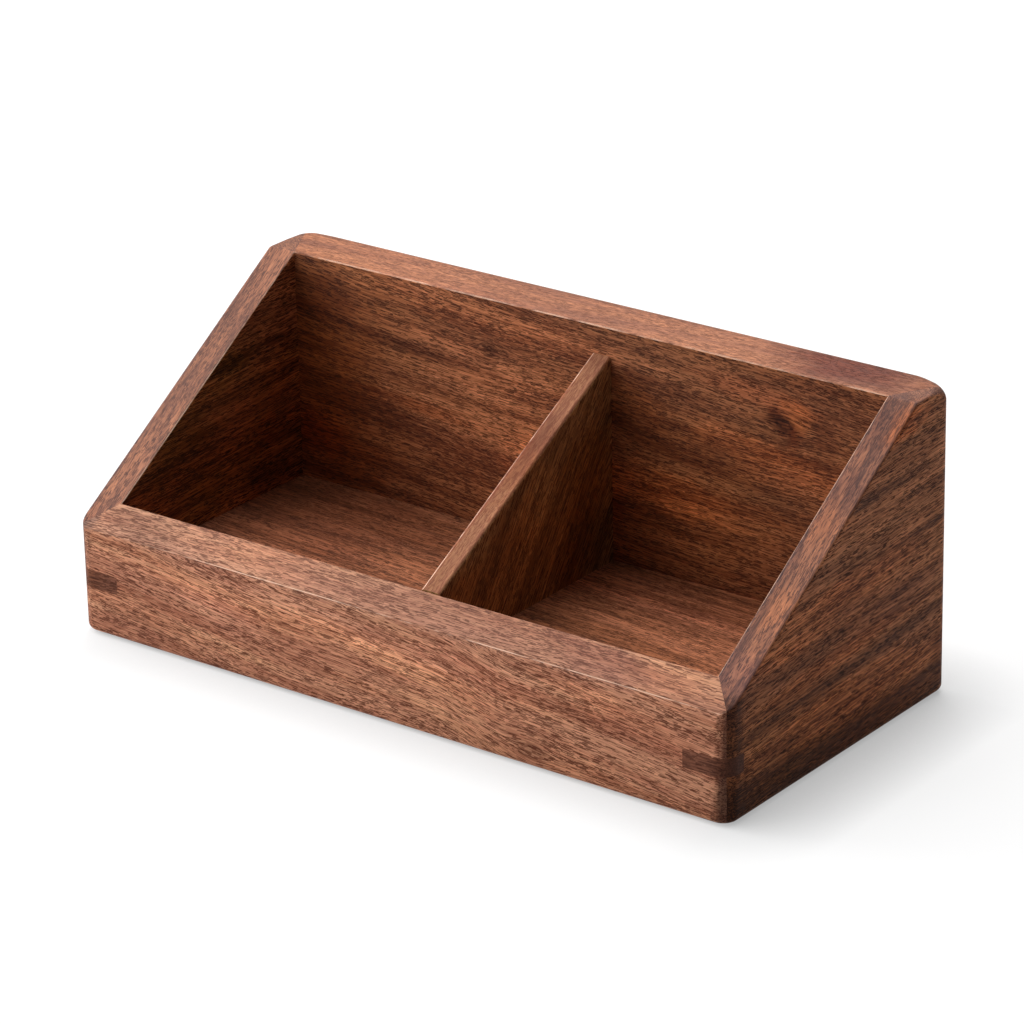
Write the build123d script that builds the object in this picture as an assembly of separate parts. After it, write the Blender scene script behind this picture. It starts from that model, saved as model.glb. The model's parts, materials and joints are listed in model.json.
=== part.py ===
from build123d import *
from math import atan2, degrees, hypot
import os

# Desk organizer: a mitred hardwood tray with a sloping front, a high back and two compartments.
# +Z is up and the open front faces -Y. The origin is on the desk, under the middle of the frame.
# Sizes are in millimetres. The foot is the underside of the boards, on top of the felt pads.

# Outside of the frame
width = 280.0
depth = 133.0
back_height = 112.0  # from the foot to the level top of the back
front_height = 39.5  # from the foot to the outer edge of the front, where the slope begins

# Boards of the frame
side_thickness = 12.0
front_thickness = 12.0
back_thickness = 22.0

# Sanding of the frame after glue-up
corner_radius = 6.0  # upright corners
brow_width = 1.3  # flat that first breaks the top edge of the front
brow_radius = 3.0  # upper edge of that flat
crest_radius = 3.0  # where the slope turns level
rim_radius = 1.0  # outer edge all round the top
foot_radius = 2.5  # outer edge all round the foot
well_radius = 0.6  # inner edge all round the top

# Bottom panel, with a tongue that lies in a groove of all four boards
floor_height = 24.5  # from the foot to the top of the panel
panel_thickness = 12.0
tongue_thickness = 6.0
groove_depth = 5.0
groove_headroom = 0.2  # over the tongue
swelling_room = 0.5  # past the end of the tongue, because a wide panel moves
panel_gap = 0.2  # round the part of the panel below the tongue

# Divider, with a stopped tenon in the front and one in the back
divider_thickness = 8.0
divider_offset = 10.0  # from the middle of the tray to the right
divider_drop = 10.5  # from the top of the back down to the divider's high end
divider_radius = 1.2
tenon_length = 3.0
tenon_shoulder = 7.0  # from the divider's top edge down to the tenon
tenon_play = 0.1

# Keys let into the front corners and sanded flush
key_front_leg = 18.0
key_side_leg = 9.0
key_height = 6.7
key_level = 20.7  # from the foot to the middle of the key

# Splines hidden in the back corners
spline_thickness = 3.0
spline_width = 7.0  # across the joint
spline_length = 60.0
spline_level = 62.0  # from the foot to the middle of the spline
spline_inset = 9.5  # from the inner corner, along the joint
spline_play = 0.1

# Felt pads
pad_diameter = 10.0
pad_thickness = 0.8
pad_inset = 8.5  # from both outer faces to the middle of the pad

# Faces and levels that follow from the sizes
right = width / 2
front = -depth / 2
back = depth / 2
inner_right = right - side_thickness
inner_front = front + front_thickness
inner_back = back - back_thickness
foot = pad_thickness
top = foot + back_height
brow = foot + front_height
floor = foot + floor_height
tongue_level = floor - tongue_thickness
slope = (top - brow) / (inner_back - front)
well_front_top = brow + slope * front_thickness
divider_back_top = top - divider_drop

overrun = 5.0  # how far a cut runs past the wood
same_place = 0.01  # two coordinates closer than this are the same
least_rise = 0.2  # a face looks up if its normal rises by more than this


def block(x_range, y_range, z_range):
    """Box between pairs of coordinates."""
    ranges = (x_range, y_range, z_range)
    size = [high - low for low, high in ranges]
    middle = [(low + high) / 2 for low, high in ranges]
    return Pos(*middle) * Box(*size)


def upright_prism(outline, low, high):
    """Solid with an outline of (x, y) points, from one level up to another."""
    face = make_face(Polyline(*[(x, y, low) for x, y in outline], close=True))
    return extrude(face, amount=high - low, dir=(0, 0, 1))


def crosswise_prism(outline, middle, across):
    """Solid with an outline of (y, z) points, centred on x = middle."""
    face = make_face(Polyline(*[(middle, y, z) for y, z in outline], close=True))
    return extrude(face, amount=across / 2, dir=(1, 0, 0), both=True)


def crosswise_edge(solid, y, z):
    """The edge along X that is nearest to a given y and z."""
    target = Vector(0, y, z)
    return min(solid.edges().filter_by(Axis.X), key=lambda edge: (edge.center() - target).length)


def rim_edges(solid):
    """Edges that bound the faces that look up, taken together."""
    faces = [face for face in solid.faces() if face.normal_at(face.center()).Z > least_rise]
    edges = [edge for face in faces for edge in face.edges()]
    return [edge for edge in edges if sum(edge.is_same(other) for other in edges) == 1]


def is_on_well(edge):
    """Whether an edge lies on one of the four walls of the well."""
    place = edge.center()
    distances = (abs(place.X) - inner_right, place.Y - inner_front, place.Y - inner_back)
    return min(abs(distance) for distance in distances) < same_place


def make_form():
    """Outer form of the frame as one solid block with sanded edges."""
    outline = [(front, foot), (back, foot), (back, top), (inner_back, top), (front, brow)]
    form = crosswise_prism(outline, 0, width)
    form = fillet(crosswise_edge(form, inner_back, top), crest_radius)
    form = chamfer(crosswise_edge(form, front, brow), brow_width)
    form = fillet(crosswise_edge(form, front + brow_width, brow), brow_radius)
    form = fillet(form.edges().filter_by(Axis.Z), corner_radius)
    form = fillet(form.faces().sort_by(Axis.Z)[0].edges(), foot_radius)
    return fillet(rim_edges(form), rim_radius)


def make_ring(form):
    """The frame before it is sawn into boards: the form with a well through it."""
    x_range = (-inner_right, inner_right)
    y_range = (inner_front, inner_back)
    ring = form - block(x_range, y_range, (foot - overrun, top + overrun))
    return fillet([edge for edge in rim_edges(ring) if is_on_well(edge)], well_radius)


def joint_point(joint, share):
    """Point on the line of a corner joint, where share 0 is its inner end and 1 its outer end."""
    (inner_x, inner_y), (outer_x, outer_y) = joint
    return (inner_x + share * (outer_x - inner_x), inner_y + share * (outer_y - inner_y))


def region_between(joint, next_joint):
    """Outline in plan of the wood between two corner joints, extended at both ends of each."""
    outside = 1.5
    inside = -0.5
    return [
        joint_point(joint, outside),
        joint_point(next_joint, outside),
        joint_point(next_joint, inside),
        joint_point(joint, inside),
    ]


def make_divider_tenons(play):
    """The two tenons of the divider, or with some play the sockets for them."""
    half = divider_thickness / 2 + play
    x_range = (divider_offset - half, divider_offset + half)
    length = tenon_length + play
    rise = play - tenon_shoulder
    front_tenon = block(x_range, (inner_front - length, inner_front), (floor, well_front_top + rise))
    back_tenon = block(x_range, (inner_back, inner_back + length), (floor, divider_back_top + rise))
    return front_tenon, back_tenon


def make_key_wedge(side):
    """Corner wedge of a key, larger than the key itself on the outside. Side is -1 or 1."""
    outline = [
        (side * (right - key_front_leg), front),
        (side * (right - key_front_leg), front - overrun),
        (side * (right + overrun), front - overrun),
        (side * (right + overrun), front + key_side_leg),
        (side * right, front + key_side_leg),
    ]
    middle = foot + key_level
    return upright_prism(outline, middle - key_height / 2, middle + key_height / 2)


def make_spline(side, play):
    """Spline across a back corner, or with some play the slot for it. Side is -1 or 1."""
    reach = hypot(side_thickness, back_thickness)
    x = side * (inner_right + spline_inset * side_thickness / reach)
    y = inner_back + spline_inset * back_thickness / reach
    turn = degrees(atan2(back_thickness, side * side_thickness))
    size = (spline_thickness + play, spline_width + play, spline_length + play)
    return Pos(x, y, foot + spline_level) * Rot(0, 0, turn) * Box(*size)


def make_boards(form):
    """The four boards of the frame, with the grooves, sockets and slots in them."""
    ring = make_ring(form)
    ring -= block(
        (-inner_right - groove_depth, inner_right + groove_depth),
        (inner_front - groove_depth, inner_back + groove_depth),
        (tongue_level, floor + groove_headroom),
    )
    for socket in make_divider_tenons(tenon_play):
        ring -= socket
    for side in (-1, 1):
        ring -= make_key_wedge(side)
        ring -= make_spline(side, spline_play)

    front_left = ((-inner_right, inner_front), (-right, front))
    front_right = ((inner_right, inner_front), (right, front))
    back_right = ((inner_right, inner_back), (right, back))
    back_left = ((-inner_right, inner_back), (-right, back))
    corners = {
        "front_panel": (front_left, front_right),
        "right_side": (front_right, back_right),
        "back_panel": (back_right, back_left),
        "left_side": (back_left, front_left),
    }
    low = foot - overrun
    high = top + overrun
    return {
        name: ring & upright_prism(region_between(*joints), low, high)
        for name, joints in corners.items()
    }


def make_bottom_panel():
    """Panel whose upper layer is the tongue and whose lower layer fits between the boards."""
    reach = groove_depth - swelling_room
    tongue = block(
        (-inner_right - reach, inner_right + reach),
        (inner_front - reach, inner_back + reach),
        (tongue_level, floor),
    )
    lower_layer = block(
        (-inner_right + panel_gap, inner_right - panel_gap),
        (inner_front + panel_gap, inner_back - panel_gap),
        (floor - panel_thickness, tongue_level),
    )
    return tongue + lower_layer


def make_divider():
    """Upright board that slopes down from the back to the top of the front."""
    outline = [
        (inner_front, floor),
        (inner_back, floor),
        (inner_back, divider_back_top),
        (inner_front, well_front_top),
    ]
    divider = crosswise_prism(outline, divider_offset, divider_thickness)
    sloping_face = divider.faces().filter_by(lambda face: face.normal_at().Z > least_rise)[0]
    long_edges = sloping_face.edges().sort_by(SortBy.LENGTH)[-2:]
    divider = fillet(long_edges, divider_radius)
    for tenon in make_divider_tenons(0):
        divider += tenon
    return divider


def make_felt_pad(side, end):
    """Pad under one corner. Side is -1 or 1 along X and end is -1 or 1 along Y."""
    x = side * (right - pad_inset)
    y = end * (back - pad_inset)
    return Pos(x, y, pad_thickness / 2) * Cylinder(pad_diameter / 2, pad_thickness)


form = make_form()
pieces = make_boards(form)
pieces["bottom_panel"] = make_bottom_panel()
pieces["divider"] = make_divider()
for side_name, side in (("left", -1), ("right", 1)):
    pieces[f"corner_key_{side_name}"] = form & make_key_wedge(side)
    pieces[f"back_spline_{side_name}"] = make_spline(side, 0)
    for end_name, end in (("front", -1), ("back", 1)):
        pieces[f"felt_pad_{end_name}_{side_name}"] = make_felt_pad(side, end)

os.makedirs("parts", exist_ok=True)
for name, piece in pieces.items():
    export_step(piece, f"parts/{name}.step")
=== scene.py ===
import json
import math

import bmesh
import bpy
from mathutils import Euler, Matrix, Vector


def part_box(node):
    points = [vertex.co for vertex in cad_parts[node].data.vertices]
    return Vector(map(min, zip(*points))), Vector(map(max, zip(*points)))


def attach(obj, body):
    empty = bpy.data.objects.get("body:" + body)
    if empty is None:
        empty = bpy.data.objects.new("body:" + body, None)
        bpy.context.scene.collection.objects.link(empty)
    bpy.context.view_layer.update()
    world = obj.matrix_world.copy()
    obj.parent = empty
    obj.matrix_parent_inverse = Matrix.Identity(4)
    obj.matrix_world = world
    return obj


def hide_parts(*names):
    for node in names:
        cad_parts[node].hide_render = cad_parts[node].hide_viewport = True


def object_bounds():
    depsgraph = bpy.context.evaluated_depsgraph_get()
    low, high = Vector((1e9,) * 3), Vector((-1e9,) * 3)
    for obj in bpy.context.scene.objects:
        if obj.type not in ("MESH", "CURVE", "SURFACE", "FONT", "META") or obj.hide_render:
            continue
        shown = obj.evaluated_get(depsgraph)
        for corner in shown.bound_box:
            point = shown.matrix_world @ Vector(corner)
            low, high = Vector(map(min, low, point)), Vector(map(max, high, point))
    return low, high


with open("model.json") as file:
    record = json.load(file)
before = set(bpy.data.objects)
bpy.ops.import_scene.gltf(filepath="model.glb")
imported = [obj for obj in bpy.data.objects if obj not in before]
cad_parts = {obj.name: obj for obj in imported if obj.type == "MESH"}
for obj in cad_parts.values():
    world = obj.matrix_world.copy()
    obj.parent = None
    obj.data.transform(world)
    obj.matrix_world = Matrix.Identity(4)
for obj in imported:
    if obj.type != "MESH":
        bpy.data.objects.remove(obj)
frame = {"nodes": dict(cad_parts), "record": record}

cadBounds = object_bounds()
highCorner = Vector(cadBounds[1])
mm = 0.001
print("frame loaded:", len(frame["nodes"]), "pieces")


def tone(red, green, blue):
    # a colour as picked on screen, in the linear values that sockets take
    def linear(value):
        value /= 255
        return value / 12.92 if value <= 0.04045 else ((value + 0.055) / 1.055) ** 2.4
    return (linear(red), linear(green), linear(blue), 1.0)


def addObject(name, data):
    thing = bpy.data.objects.new(name, data)
    bpy.context.scene.collection.objects.link(thing)
    return thing


def emptyTree(owner):
    owner.use_nodes = True
    owner.node_tree.nodes.clear()
    return owner.node_tree


def newMaterial(name):
    material = bpy.data.materials.new(name)
    return material, emptyTree(material)


def wire(tree, node, key, value):
    # a socket is linked, anything else is set as the value
    if isinstance(value, bpy.types.NodeSocket):
        tree.links.new(value, node.inputs[key])
    else:
        node.inputs[key].default_value = value


def addNode(tree, kind, sockets=None, **settings):
    node = tree.nodes.new(kind)
    for name, value in settings.items():
        setattr(node, name, value)
    for key, value in (sockets or {}).items():
        wire(tree, node, key, value)
    return node


def calc(tree, operation, *values):
    return addNode(tree, "ShaderNodeMath", dict(enumerate(values)), operation=operation).outputs[0]


def vectorCalc(tree, operation, *values):
    node = addNode(tree, "ShaderNodeVectorMath", dict(enumerate(values)), operation=operation)
    return node.outputs["Value" if operation in ("LENGTH", "DOT_PRODUCT") else "Vector"]


def fade(tree, value, low, high, toLow=0.0, toHigh=1.0):
    # smooth step from toLow to toHigh while value goes from low to high
    sockets = {"Value": value, "From Min": low, "From Max": high, "To Min": toLow, "To Max": toHigh}
    return addNode(tree, "ShaderNodeMapRange", sockets, interpolation_type="SMOOTHSTEP").outputs["Result"]


def mixColours(tree, share, first, second, blend="MIX"):
    sockets = {0: share, 6: first, 7: second}
    return addNode(tree, "ShaderNodeMix", sockets, data_type="RGBA", blend_type=blend).outputs[2]


def noise(tree, vector, stretch=(1, 1, 1), detail=2.0, roughness=0.5, output="Fac"):
    scaled = vectorCalc(tree, "MULTIPLY", vector, stretch)
    sockets = {"Vector": scaled, "Scale": 1.0, "Detail": detail, "Roughness": roughness}
    return addNode(tree, "ShaderNodeTexNoise", sockets).outputs[output]


def combine(tree, x=0.0, y=0.0, z=0.0):
    return addNode(tree, "ShaderNodeCombineXYZ", {"X": x, "Y": y, "Z": z}).outputs[0]


def split(tree, vector):
    return addNode(tree, "ShaderNodeSeparateXYZ", {0: vector}).outputs


def newGroup(name, inputs, outputs):
    group = bpy.data.node_groups.new(name, "ShaderNodeTree")
    for socketName, kind, default in inputs:
        socket = group.interface.new_socket(socketName, in_out="INPUT", socket_type="NodeSocket" + kind)
        if default is not None:
            socket.default_value = default
    for socketName, kind in outputs:
        group.interface.new_socket(socketName, in_out="OUTPUT", socket_type="NodeSocket" + kind)
    return group, addNode(group, "NodeGroupInput").outputs, addNode(group, "NodeGroupOutput").inputs


grainLook = {
    # noise waves in a metre along, through and across the fibres
    "broadDrift": (8, 18, 18),
    "fineDrift": (24, 80, 80),
    "knotRim": (200, 260, 260),
    "blush": (10, 75, 75),
    "ringSway": (5, 45, 45),
    "fibre": (80, 4000, 4000),
    "fleck": (170, 4800, 4800),
    "lineWobble": (16, 260, 260),
    "poreCrowd": (25, 200, 200),
    # each mark fades in between two levels of its noise or wave
    "middleLevels": (0.48, 0.86),
    "blushLevels": (0.46, 0.66),
    "bandLevels": (0.52, 0.74),
    "streakLevels": (0.53, 0.72),
    "ringLevels": (-0.3, 1.5),
    "heartLevels": (-0.5, 1.0),
    "fibreLevels": (0.34, 0.66),
    "fleckLevels": (0.32, 0.68),
    "lineLevels": (-0.2, 0.95),
    "lineInBand": (0.3, 0.62, 0.35, 1.0),
    "paintedSheenLevels": (0.25, 0.75),
    "endGrainLevels": (0.35, 0.95, 0.0, 0.6),
    "fineDriftReach": 0.0009,  # m
    "bandLength": 16.0,  # times its width
    "streakLength": 34.0,
    "knotStretch": (0.62, 1, 1),  # less than 1 draws the knot out along the fibres
    "knotPinch": 0.85,  # how far the fibres part round it
    "knotRagged": (0.9, 0.55),
    "knotCore": (0.3, 1.0, 0.7, 0.0),
    "knotHalo": (0.6, 2.2, 0.3, 0.0),
    "ringSwing": 2.2,  # in rings
    "ringByBand": 3.0,
    "lineSwing": 1.6,  # in lines
    "heartEdge": 0.0018,  # m, the soft border of the dark heart
    "fibreTints": ((1.2, 1.22, 1.22, 1), (0.78, 0.75, 0.73, 1)),
    "fleckTints": ((1.14, 1.15, 1.15, 1), (0.86, 0.85, 0.84, 1)),
    "roughness": (0.42, 0.2, 0.2),  # of plain wood, what pores add and what fibres add
    "fibreHeight": 0.3,  # beside a pore's depth of 1
}
dashLook = {
    # length and width as shares of a pore's, and the turn of the lattice in radians
    "pore": (0.8, 1.0, 0.5),
    "longPore": (1.4, 0.85, 1.1),
    "paleFibre": (1.2, 0.95, 0.8),
    "longPoreShare": 0.9,
    "paleFibreShare": 0.45,
    "rowShift": 9.0,  # in lengths
    "trim": 0.3,  # by how much some are shorter
    "endEdge": (0.41, 0.5, 1.0, 0.0),
    "sideEdge": (0.42, 0.56, 1.0, 0.0),
    "luck": (0.52, 0.74),
    "crowding": (0.3, 0.7, 0.1, -0.1),
}


def makeDashes(tree, place, given, crowd, kind):
    # each fibre of a lattice is cut into lengths, and some of them show as a dash
    length, width, turn = dashLook[kind]
    turned = addNode(tree, "ShaderNodeVectorRotate", {"Vector": place, "Angle": turn}, rotation_type="X_AXIS")
    across = calc(tree, "MULTIPLY", given["Pore Width"], width)
    slender = combine(tree, calc(tree, "MULTIPLY", given["Pore Length"], length), across, across)
    lattice = vectorCalc(tree, "DIVIDE", turned.outputs[0], slender)
    row = vectorCalc(tree, "MULTIPLY", vectorCalc(tree, "FLOOR", lattice), (0, 1, 1))
    rowShift = addNode(tree, "ShaderNodeTexWhiteNoise", {"Vector": row}).outputs["Value"]
    rowShift = calc(tree, "MULTIPLY", rowShift, dashLook["rowShift"])
    lattice = vectorCalc(tree, "ADD", lattice, combine(tree, rowShift))
    luck = addNode(tree, "ShaderNodeTexWhiteNoise", {"Vector": vectorCalc(tree, "FLOOR", lattice)}).outputs
    inCell = vectorCalc(tree, "SUBTRACT", vectorCalc(tree, "FRACTION", lattice), (0.5, 0.5, 0.5))
    inCell = vectorCalc(tree, "ABSOLUTE", inCell)
    trim = addNode(tree, "ShaderNodeSeparateColor", {0: luck["Color"]}).outputs[1]
    fromMiddle = calc(tree, "ADD", split(tree, inCell)[0], calc(tree, "MULTIPLY", trim, dashLook["trim"]))
    fromAxis = vectorCalc(tree, "LENGTH", vectorCalc(tree, "MULTIPLY", inCell, (0, 1, 1)))
    dash = calc(tree, "MULTIPLY", fade(tree, fromMiddle, *dashLook["endEdge"]),
                fade(tree, fromAxis, *dashLook["sideEdge"]))
    shown = fade(tree, calc(tree, "ADD", luck["Value"], crowd), *dashLook["luck"])
    return calc(tree, "MULTIPLY", dash, shown)


def makeWalnutGrain():
    # solid wood: x runs along the fibres, so every cut through it shows the right figure
    tree, given, result = newGroup(
        "walnutGrain",
        [("Vector", "Vector", None), ("Normal", "Vector", None), ("Fibre Axis", "Vector", (1, 0, 0)),
         ("Wander", "Float", 0.008), ("Bend Place", "Float", 0.0), ("Bend Reach", "Float", 0.03),
         ("Bend Height", "Float", 0.0), ("Knot Place", "Vector", None), ("Knot Size", "Float", 0.008),
         ("Knot Darkness", "Float", 0.0), ("Second Knot Place", "Vector", None),
         ("Second Knot Size", "Float", 0.004), ("Second Knot Darkness", "Float", 0.0),
         ("Band Width", "Float", 0.007), ("Band Darkness", "Float", 0.5), ("Streak Width", "Float", 0.002),
         ("Streak Darkness", "Float", 0.4), ("Heart Level", "Float", -1.0), ("Heart Tilt", "Float", 0.0),
         ("Heart Darkness", "Float", 0.0), ("Ring Spacing", "Float", 0.011), ("Ring Darkness", "Float", 0.1),
         ("Line Spacing", "Float", 0.0014), ("Line Darkness", "Float", 0.5), ("Pore Length", "Float", 0.0052),
         ("Pore Width", "Float", 0.0005), ("Pore Depth", "Float", 0.75), ("Light Tone", "Color", None),
         ("Middle Tone", "Color", None), ("Dark Tone", "Color", None), ("Blush Tone", "Color", None),
         ("Blush", "Float", 0.4), ("Pore Tone", "Color", None), ("Faded Tone", "Color", None),
         ("Faded", "Float", 0.1)],
        [("Color", "Color"), ("Roughness", "Float"), ("Height", "Float")])

    # the fibres drift, bend once and part round two knots
    place = given["Vector"]
    for drift, reach in (("broadDrift", given["Wander"]), ("fineDrift", grainLook["fineDriftReach"])):
        field = noise(tree, place, grainLook[drift], 1.0, output="Color")
        field = vectorCalc(tree, "SUBTRACT", field, (0.5, 0.5, 0.5))
        field = vectorCalc(tree, "MULTIPLY", field, combine(tree, 0, reach, reach))
        place = vectorCalc(tree, "ADD", place, field)
    along = split(tree, given["Vector"])[0]
    turn = calc(tree, "DIVIDE", calc(tree, "SUBTRACT", along, given["Bend Place"]), given["Bend Reach"])
    lift = calc(tree, "MULTIPLY", fade(tree, turn, -1.0, 1.0), given["Bend Height"])
    place = vectorCalc(tree, "ADD", place, combine(tree, z=lift))
    raggedShare, plainShare = grainLook["knotRagged"]
    ragged = calc(tree, "MULTIPLY", noise(tree, given["Vector"], grainLook["knotRim"]), raggedShare)
    ragged = calc(tree, "ADD", ragged, plainShare)
    cores = []
    for knot in ("Knot", "Second Knot"):
        away = vectorCalc(tree, "SUBTRACT", given["Vector"], given[knot + " Place"])
        spread = vectorCalc(tree, "MULTIPLY", away, grainLook["knotStretch"])
        spread = vectorCalc(tree, "DIVIDE", spread, combine(tree, *(given[knot + " Size"],) * 3))
        reach = vectorCalc(tree, "LENGTH", spread)
        push = calc(tree, "EXPONENT", calc(tree, "MULTIPLY", calc(tree, "MULTIPLY", reach, reach), -0.5))
        push = calc(tree, "MULTIPLY", push, calc(tree, "MINIMUM", given[knot + " Darkness"], 1.0))
        push = calc(tree, "MULTIPLY", push, grainLook["knotPinch"])
        pinch = vectorCalc(tree, "MULTIPLY", away, combine(tree, 0, push, push))
        place = vectorCalc(tree, "SUBTRACT", place, pinch)
        reach = calc(tree, "MULTIPLY", reach, ragged)
        core = fade(tree, reach, *grainLook["knotCore"])
        halo = fade(tree, reach, *grainLook["knotHalo"])
        cores.append(calc(tree, "MULTIPLY", calc(tree, "ADD", core, halo), given[knot + " Darkness"]))

    def stretched(width, ratio, shift=(0, 0, 0)):
        slender = combine(tree, calc(tree, "MULTIPLY", width, ratio), width, width)
        return vectorCalc(tree, "ADD", vectorCalc(tree, "DIVIDE", place, slender), shift)

    # broad soft bands, narrow dark streaks, growth rings and the dark heart under one level
    band = noise(tree, stretched(given["Band Width"], grainLook["bandLength"]), detail=2.5, roughness=0.55)
    streak = noise(tree, stretched(given["Streak Width"], grainLook["streakLength"], (3.1, 7.7, 1.3)))
    middleShare = calc(tree, "ADD", band, calc(tree, "MULTIPLY", streak, 0.35))
    middleShare = fade(tree, middleShare, *grainLook["middleLevels"])
    colour = mixColours(tree, middleShare, given["Light Tone"], given["Middle Tone"])
    blush = noise(tree, vectorCalc(tree, "ADD", place, (0.7, 0.2, 0.5)), grainLook["blush"])
    blush = calc(tree, "MULTIPLY", fade(tree, blush, *grainLook["blushLevels"]), given["Blush"])
    colour = mixColours(tree, blush, colour, given["Blush Tone"])
    darkBand = calc(tree, "MULTIPLY", fade(tree, band, *grainLook["bandLevels"]), given["Band Darkness"])
    darkStreak = fade(tree, streak, *grainLook["streakLevels"])
    darkStreak = calc(tree, "MULTIPLY", darkStreak, given["Streak Darkness"])
    level = vectorCalc(tree, "DOT_PRODUCT", place, combine(tree, given["Heart Tilt"], 0, 1))
    heart = calc(tree, "DIVIDE", calc(tree, "SUBTRACT", given["Heart Level"], level), grainLook["heartEdge"])
    darkHeart = calc(tree, "MULTIPLY", fade(tree, heart, *grainLook["heartLevels"]), given["Heart Darkness"])
    ring = vectorCalc(tree, "DOT_PRODUCT", place, (0, 0.3, 1))
    sway = calc(tree, "MULTIPLY", noise(tree, place, grainLook["ringSway"], 1.0), grainLook["ringSwing"])
    ring = calc(tree, "ADD", calc(tree, "DIVIDE", ring, given["Ring Spacing"]), sway)
    ring = calc(tree, "SINE", calc(tree, "MULTIPLY", ring, 2 * math.pi))
    byBand = calc(tree, "MULTIPLY", calc(tree, "SUBTRACT", band, 0.5), grainLook["ringByBand"])
    ring = fade(tree, calc(tree, "ADD", ring, byBand), *grainLook["ringLevels"])
    darkRing = calc(tree, "MULTIPLY", ring, given["Ring Darkness"])
    for share in (darkBand, darkStreak, darkRing, darkHeart):
        colour = mixColours(tree, share, colour, given["Dark Tone"])
    for core in cores:
        colour = mixColours(tree, core, colour, given["Pore Tone"])
    fibre = noise(tree, place, grainLook["fibre"], 1.0, 0.6)
    tint = mixColours(tree, fade(tree, fibre, *grainLook["fibreLevels"]), *grainLook["fibreTints"])
    colour = mixColours(tree, 1.0, colour, tint, "MULTIPLY")
    fleck = noise(tree, place, grainLook["fleck"], 0.0)
    tint = mixColours(tree, fade(tree, fleck, *grainLook["fleckLevels"]), *grainLook["fleckTints"])
    colour = mixColours(tree, 1.0, colour, tint, "MULTIPLY")

    # fine growth lines that come and go
    line = vectorCalc(tree, "DOT_PRODUCT", place, (0, 0.4, 1))
    wobble = calc(tree, "MULTIPLY", noise(tree, place, grainLook["lineWobble"], 1.0), grainLook["lineSwing"])
    line = calc(tree, "ADD", calc(tree, "DIVIDE", line, given["Line Spacing"]), wobble)
    line = calc(tree, "SINE", calc(tree, "MULTIPLY", line, 2 * math.pi))
    line = fade(tree, line, *grainLook["lineLevels"])
    line = calc(tree, "MULTIPLY", line, fade(tree, band, *grainLook["lineInBand"]))
    line = calc(tree, "MULTIPLY", line, given["Line Darkness"])
    colour = mixColours(tree, line, colour, given["Dark Tone"])

    # pale fibres and two kinds of pores, in crowds
    crowd = fade(tree, noise(tree, place, grainLook["poreCrowd"], 1.0), *dashLook["crowding"])
    shortPore, longPore, paleFibre = (makeDashes(tree, place, given, crowd, kind)
                                      for kind in ("pore", "longPore", "paleFibre"))
    paleFibre = calc(tree, "MULTIPLY", paleFibre, dashLook["paleFibreShare"])
    colour = mixColours(tree, paleFibre, colour, given["Light Tone"])
    pore = calc(tree, "MAXIMUM", shortPore, calc(tree, "MULTIPLY", longPore, dashLook["longPoreShare"]))
    colour = mixColours(tree, calc(tree, "MULTIPLY", pore, given["Pore Depth"]), colour, given["Pore Tone"])

    # faces that look up get a painted sheen, mixed towards a greyer tone, and end grain drinks the oil and
    # goes dark
    up = split(tree, given["Normal"])[2]
    paintedSheen = calc(tree, "MULTIPLY", fade(tree, up, *grainLook["paintedSheenLevels"]), given["Faded"])
    colour = mixColours(tree, paintedSheen, colour, given["Faded Tone"])
    facing = calc(tree, "ABSOLUTE", vectorCalc(tree, "DOT_PRODUCT", given["Normal"], given["Fibre Axis"]))
    endGrain = fade(tree, facing, *grainLook["endGrainLevels"])
    colour = mixColours(tree, endGrain, colour, mixColours(tree, 0.8, colour, given["Pore Tone"]))

    plain, fromPores, fromFibres = grainLook["roughness"]
    rough = calc(tree, "ADD", calc(tree, "MULTIPLY", pore, fromPores), plain)
    rough = calc(tree, "ADD", calc(tree, "MULTIPLY", fibre, fromFibres), rough)
    tree.links.new(colour, result["Color"])
    tree.links.new(rough, result["Roughness"])
    height = calc(tree, "SUBTRACT", calc(tree, "MULTIPLY", fibre, grainLook["fibreHeight"]), pore)
    tree.links.new(height, result["Height"])
    return tree


paintedHighlightLook = {
    "upward": (0.485, 0.53),  # only normals that point up this much get the painted highlight
    "outward": (-0.001, 0.001),  # m, the change from inner to outer edges
    "broken": (0.36, 0.58),
    "tone": tone(246, 206, 180),
    "length": 0.016,  # m, of the broken lengths
    "shareAtStart": 0.15,
    "slopeNormal": (0.0, -0.5468, 0.8373),  # the sloping faces are flat, so they get no painted highlight
}


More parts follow.
